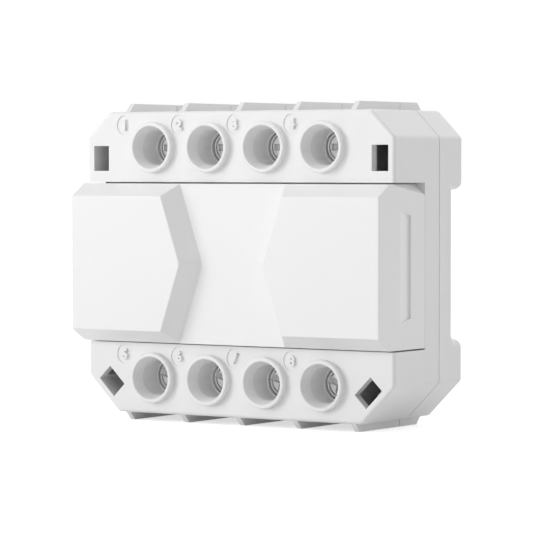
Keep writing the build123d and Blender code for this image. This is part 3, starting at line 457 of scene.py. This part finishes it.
def laminate_surface():
    """A group for a printed board. Bricks of copper under the mask, seen from the front, give the tracks
    as a mask and a height, with fine weave of the glass cloth from two crossed sine waves."""
    group, start, end = start_group(
        "laminate surface",
        {"Mask": ("Color", (1, 1, 1, 1)), "Track": ("Color", (1, 1, 1, 1)),
         "Row": ("Float", track_row), "Step": ("Float", track_step), "Gap": ("Float", track_gap)},
        {"Color": "Color", "Height": "Float"})
    nodes, links = group.nodes, group.links
    place = nodes.new("ShaderNodeTexCoord")
    parts = nodes.new("ShaderNodeSeparateXYZ")
    flat = nodes.new("ShaderNodeCombineXYZ")
    links.new(place.outputs["Object"], parts.inputs["Vector"])
    links.new(parts.outputs["Z"], flat.inputs["X"])
    links.new(parts.outputs["X"], flat.inputs["Y"])
    bricks = nodes.new("ShaderNodeTexBrick")
    bricks.inputs["Scale"].default_value = 1.0
    bricks.inputs["Mortar Smooth"].default_value = 0.3
    links.new(flat.outputs["Vector"], bricks.inputs["Vector"])
    links.new(start.outputs["Gap"], bricks.inputs["Mortar Size"])
    links.new(start.outputs["Row"], bricks.inputs["Row Height"])
    links.new(start.outputs["Step"], bricks.inputs["Brick Width"])
    waves = []
    for side in ("X", "Z"):
        wave = nodes.new("ShaderNodeMath")
        wave.operation = "SINE"
        count = nodes.new("ShaderNodeMath")
        count.operation = "MULTIPLY"
        count.inputs[1].default_value = 2 * pi / weave_step
        links.new(parts.outputs[side], count.inputs[0])
        links.new(count.outputs["Value"], wave.inputs[0])
        waves.append(wave)
    weave = nodes.new("ShaderNodeMath")
    weave.operation = "MULTIPLY"
    links.new(waves[0].outputs["Value"], weave.inputs[0])
    links.new(waves[1].outputs["Value"], weave.inputs[1])
    relief = nodes.new("ShaderNodeMath")
    relief.operation = "MULTIPLY_ADD"
    relief.inputs[1].default_value = weave_share
    links.new(weave.outputs["Value"], relief.inputs[0])
    links.new(bricks.outputs["Fac"], relief.inputs[2])
    blend = nodes.new("ShaderNodeMix")
    blend.data_type = "RGBA"
    links.new(bricks.outputs["Fac"], blend.inputs["Factor"])
    links.new(start.outputs["Track"], blend.inputs["A"])
    links.new(start.outputs["Mask"], blend.inputs["B"])
    links.new(blend.outputs["Result"], end.inputs["Color"])
    links.new(relief.outputs["Value"], end.inputs["Height"])
    return group


laminate = laminate_surface()


def board(name, mask, track, row=track_row, step=track_step):
    "A printed board: the mask's colour on bare laminate and on copper, and the tracks' spacing"
    material, tree, shader = start_material(name, Roughness=0.32, Coat_Weight=0.35, Coat_Roughness=0.15)
    surface = place_effect(tree, laminate, Mask=(*mask, 1), Track=(*track, 1), Row=row, Step=step)
    tree.links.new(surface.outputs["Color"], shader.inputs["Base Color"])
    add_bump(tree, shader, surface.outputs["Height"], -track_height)
    return material


finish_nodes(board("main board mask", (0.045, 0.19, 0.10), (0.09, 0.30, 0.16)), "main_board")

# Relays: each has a black moulded case on a base, with an iron yoke round its coil. The armature swings
# on the yoke's knife edge and pushes the moving contact against the fixed one.
relay_count = 3
relay_case = plastic("relay case", (0.05, 0.05, 0.058), (0.04, 0.04, 0.046), 0.30)
relay_base = plastic("relay base", (0.09, 0.09, 0.092), (0.075, 0.075, 0.078), 0.42)
bobbin_plastic = plastic("bobbin", (0.55, 0.24, 0.12), (0.48, 0.20, 0.10), 0.35)
stamped_iron = metal("stamped iron", (0.58, 0.58, 0.57), (0.44, 0.44, 0.44), 0.36,
                     lines=(26000, 26000, 3000))
for number in range(1, relay_count + 1):
    finish_nodes(relay_case, f"relay_case_{number}")
    finish_nodes(relay_base, f"relay_base_{number}")
    finish_nodes(bobbin_plastic, f"relay_coil_{number}")
    finish_nodes(stamped_iron, f"relay_yoke_{number}", f"relay_armature_{number}")
    finish_nodes(rolled_brass, f"relay_contact_{number}")

# Supply parts: a tall capacitor in a shrunk sleeve with a pale stripe, a moulded film capacitor, a drum
# choke, a dipped varistor, a fusible resistor with colour bands, and a bridge rectifier. Their leads are
# soldered to the board.
sleeve_stripe = (0.62, 0.64, 0.68, 1)
stripe_half_turn = 0.42


def striped_sleeve():
    "Shrunk sleeve: glossy dark film with one pale stripe along the can, where the angle is near zero"
    low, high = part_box("bulk_capacitor")
    material, tree, shader = start_material("shrunk sleeve", IOR=1.54, Coat_Weight=0.3, Coat_Roughness=0.08)
    surface = place_effect(tree, moulded, Color=(0.05, 0.06, 0.11, 1), Shade=(0.04, 0.05, 0.095, 1),
                           Roughness=0.16)
    place = tree.nodes.new("ShaderNodeTexCoord")
    centre = tree.nodes.new("ShaderNodeMapping")
    centre.inputs["Location"].default_value = (-(low[0] + high[0]) / 2, 0, -(low[2] + high[2]) / 2)
    parts = tree.nodes.new("ShaderNodeSeparateXYZ")
    angle = tree.nodes.new("ShaderNodeMath")
    angle.operation = "ARCTAN2"
    size = tree.nodes.new("ShaderNodeMath")
    size.operation = "ABSOLUTE"
    inside = tree.nodes.new("ShaderNodeMath")
    inside.operation = "LESS_THAN"
    inside.inputs[1].default_value = stripe_half_turn
    blend = tree.nodes.new("ShaderNodeMix")
    blend.data_type = "RGBA"
    blend.inputs["B"].default_value = sleeve_stripe
    tree.links.new(place.outputs["Object"], centre.inputs["Vector"])
    tree.links.new(centre.outputs["Vector"], parts.inputs["Vector"])
    tree.links.new(parts.outputs["X"], angle.inputs[0])
    tree.links.new(parts.outputs["Z"], angle.inputs[1])
    tree.links.new(angle.outputs["Value"], size.inputs[0])
    tree.links.new(size.outputs["Value"], inside.inputs[0])
    tree.links.new(inside.outputs["Value"], blend.inputs["Factor"])
    tree.links.new(surface.outputs["Color"], blend.inputs["A"])
    tree.links.new(blend.outputs["Result"], shader.inputs["Base Color"])
    tree.links.new(surface.outputs["Roughness"], shader.inputs["Roughness"])
    add_bump(tree, shader, surface.outputs["Height"], 0.000002)
    return material


def banded_coat():
    "Flameproof coat: bands across the body, each from one share of its length to the next"
    low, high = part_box("fuse_resistor")
    material, tree, shader = start_material("flameproof coat", Roughness=0.55)
    place = tree.nodes.new("ShaderNodeTexCoord")
    parts = tree.nodes.new("ShaderNodeSeparateXYZ")
    share = tree.nodes.new("ShaderNodeMapRange")
    share.inputs["From Min"].default_value = low[1]
    share.inputs["From Max"].default_value = high[1]
    bands = tree.nodes.new("ShaderNodeValToRGB")
    bands.color_ramp.interpolation = "CONSTANT"
    coat = (0.42, 0.47, 0.40, 1)
    for at, color in ((0.22, (0.35, 0.17, 0.06, 1)), (0.28, coat), (0.36, (0.02, 0.02, 0.02, 1)),
                      (0.42, coat), (0.50, (0.80, 0.62, 0.10, 1)), (0.56, coat)):
        bands.color_ramp.elements.new(at).color = color
    bands.color_ramp.elements[0].color = coat
    bands.color_ramp.elements[-1].color = coat
    surface = place_effect(tree, moulded, Grain_per_metre=1 / 0.00012)
    tree.links.new(place.outputs["Object"], parts.inputs["Vector"])
    tree.links.new(parts.outputs["Y"], share.inputs["Value"])
    tree.links.new(share.outputs["Result"], bands.inputs["Fac"])
    tree.links.new(bands.outputs["Color"], shader.inputs["Base Color"])
    add_bump(tree, shader, surface.outputs["Height"], 0.00001)
    return material


finish_nodes(striped_sleeve(), "bulk_capacitor")
finish_nodes(banded_coat(), "fuse_resistor")
finish_nodes(plastic("film box", (0.72, 0.55, 0.14), (0.66, 0.49, 0.11), 0.36), "film_capacitor")
finish_nodes(plastic("dipped epoxy", (0.10, 0.22, 0.50), (0.08, 0.18, 0.43), 0.18, grain=0.0006,
                     depth=0.00002, Coat_Weight=0.4), "varistor")
finish_nodes(plastic("sintered ferrite", (0.12, 0.12, 0.13), (0.08, 0.08, 0.09), 0.52, grain=0.0001,
                     depth=0.00001), "inductor")

# Chips: the rectifier, the optocouplers of the switch inputs and the relay drivers, in black moulded
# epoxy with tinned leads, soldered to the board.
chip_epoxy = plastic("chip epoxy", (0.05, 0.05, 0.052), (0.035, 0.035, 0.037), 0.50, grain=0.00012)
finish_nodes(chip_epoxy, "bridge_rectifier", "optocouplers", "driver_chips")

# Radio: a small upright board with a tinned shield over its chip and a gilded aerial etched in turns,
# on a pin header.
finish_nodes(board("radio board mask", (0.035, 0.13, 0.085), (0.07, 0.22, 0.14), row=0.0006, step=0.0021),
             "radio_board")
finish_nodes(metal("tinned sheet", (0.80, 0.80, 0.79), (0.68, 0.68, 0.67), 0.22), "radio_shield")
finish_nodes(metal("gilded copper", (0.86, 0.62, 0.32), (0.76, 0.52, 0.26), 0.20), "radio_antenna")
finish_nodes(plastic("header plastic", (0.06, 0.06, 0.06), (0.045, 0.045, 0.045), 0.45), "radio_header")

# Floor: a wide pale sheet that the module stands on. To the camera and in reflections it's as white
# as the space behind it, apart from the module's soft shadow.
floor_reach = 4.0
floor_lines = 9
floor_pale = 0.78
floor_glow = 0.60
steps = np.linspace(-1, 1, floor_lines)
across, along = np.meshgrid(steps, steps, indexing="ij")
floor_points = np.stack([across * floor_reach, along * floor_reach, 0 * across], -1).reshape(-1, 3)
cells = np.arange(floor_lines ** 2).reshape(floor_lines, floor_lines)
quads = np.stack([cells[:-1, :-1], cells[1:, :-1], cells[1:, 1:], cells[:-1, 1:]], -1).reshape(-1, 4)
floor_mesh = bpy.data.meshes.new("floor")
floor_mesh.from_pydata(floor_points.tolist(), [], quads.tolist())
floor = bpy.data.objects.new("floor", floor_mesh)
bpy.context.scene.collection.objects.link(floor)
floor_material, floor_tree, floor_shader = start_material("floor", Roughness=0.9)
floor_shader.inputs["Base Color"].default_value = (floor_pale, floor_pale, floor_pale, 1)
light_path = floor_tree.nodes.new("ShaderNodeLightPath")
glow = floor_tree.nodes.new("ShaderNodeEmission")
either = floor_tree.nodes.new("ShaderNodeMath")
either.operation = "MAXIMUM"
floor_tree.links.new(light_path.outputs["Is Camera Ray"], either.inputs[0])
floor_tree.links.new(light_path.outputs["Is Glossy Ray"], either.inputs[1])
level = floor_tree.nodes.new("ShaderNodeMath")
level.operation = "MULTIPLY"
level.inputs[1].default_value = floor_glow
floor_tree.links.new(either.outputs["Value"], level.inputs[0])
floor_tree.links.new(level.outputs["Value"], glow.inputs["Strength"])
both = floor_tree.nodes.new("ShaderNodeAddShader")
floor_tree.links.new(floor_shader.outputs["BSDF"], both.inputs[0])
floor_tree.links.new(glow.outputs["Emission"], both.inputs[1])
floor_tree.links.new(both.outputs["Shader"], floor_tree.nodes["Material Output"].inputs["Surface"])
floor_mesh.materials.append(floor_material)

# Light: a pale room that grows brighter behind the module, a large soft lamp in front and to the upper
# left, one overhead and a weak one straight in front. The front is bright, the right side a step
# darker, and the insides of the wells darker still.
room_level = 0.40
room_behind = 1.40
world = bpy.data.worlds.new("room")
bpy.context.scene.world = world
world.use_nodes = True
sky = world.node_tree
direction = sky.nodes.new("ShaderNodeTexCoord")
parts = sky.nodes.new("ShaderNodeSeparateXYZ")
behind = sky.nodes.new("ShaderNodeMath")
behind.operation = "MAXIMUM"
behind.inputs[1].default_value = 0.0
square = sky.nodes.new("ShaderNodeMath")
square.operation = "POWER"
square.inputs[1].default_value = 2.0
brightness = sky.nodes.new("ShaderNodeMath")
brightness.operation = "MULTIPLY_ADD"
brightness.inputs[1].default_value = room_behind
brightness.inputs[2].default_value = room_level
room = sky.nodes["Background"]
room.inputs["Color"].default_value = (1, 1, 1, 1)
sky.links.new(direction.outputs["Generated"], parts.inputs["Vector"])
sky.links.new(parts.outputs["Y"], behind.inputs[0])
sky.links.new(behind.outputs["Value"], square.inputs[0])
sky.links.new(square.outputs["Value"], brightness.inputs[0])
sky.links.new(brightness.outputs["Value"], room.inputs["Strength"])
paper = sky.nodes.new("ShaderNodeBackground")
paper.inputs["Color"].default_value = (1, 1, 1, 1)
paper.inputs["Strength"].default_value = 1.0
sky_path = sky.nodes.new("ShaderNodeLightPath")
seen = sky.nodes.new("ShaderNodeMath")
seen.operation = "MAXIMUM"
sky.links.new(sky_path.outputs["Is Camera Ray"], seen.inputs[0])
sky.links.new(sky_path.outputs["Is Transmission Ray"], seen.inputs[1])
choose = sky.nodes.new("ShaderNodeMixShader")
sky.links.new(seen.outputs["Value"], choose.inputs["Fac"])
sky.links.new(room.outputs["Background"], choose.inputs[1])
sky.links.new(paper.outputs["Background"], choose.inputs[2])
sky.links.new(choose.outputs["Shader"], sky.nodes["World Output"].inputs["Surface"])


def lamp(name, place, aim, size, power):
    "A square soft lamp that faces its aim"
    data = bpy.data.lights.new(name, "AREA")
    data.size = size
    data.energy = power
    light = bpy.data.objects.new(name, data)
    light.location = place
    away = np.array(place) - np.array(aim)
    light.rotation_euler = (np.arctan2(np.hypot(away[0], away[1]), away[2]), 0,
                            np.arctan2(away[0], -away[1]))
    bpy.context.scene.collection.objects.link(light)


middle = (0, 0, 0.0215)
lamp("left lamp", (-0.55, -0.60, 0.25), middle, 0.4, 2.77)
lamp("front lamp", (-0.04, -0.80, 0.12), middle, 0.3, 0.45)
lamp("top lamp", (0, -0.20, 0.80), middle, 0.5, 1.7)

# Camera: a long lens 0.40 metres from the module's middle. It is level with the module's upper half and
# 33 degrees to its right.
camera_data = bpy.data.cameras.new("camera")
camera_data.sensor_width = 36.0
camera_data.lens = 203.19
camera = bpy.data.objects.new("camera", camera_data)
camera.location = (0.22259, -0.33781, 0.03445)
camera.rotation_euler = (radians(88.102), 0, radians(33.352))
bpy.context.scene.collection.objects.link(camera)
bpy.context.scene.camera = camera
bpy.context.scene.view_settings.view_transform = "Standard"
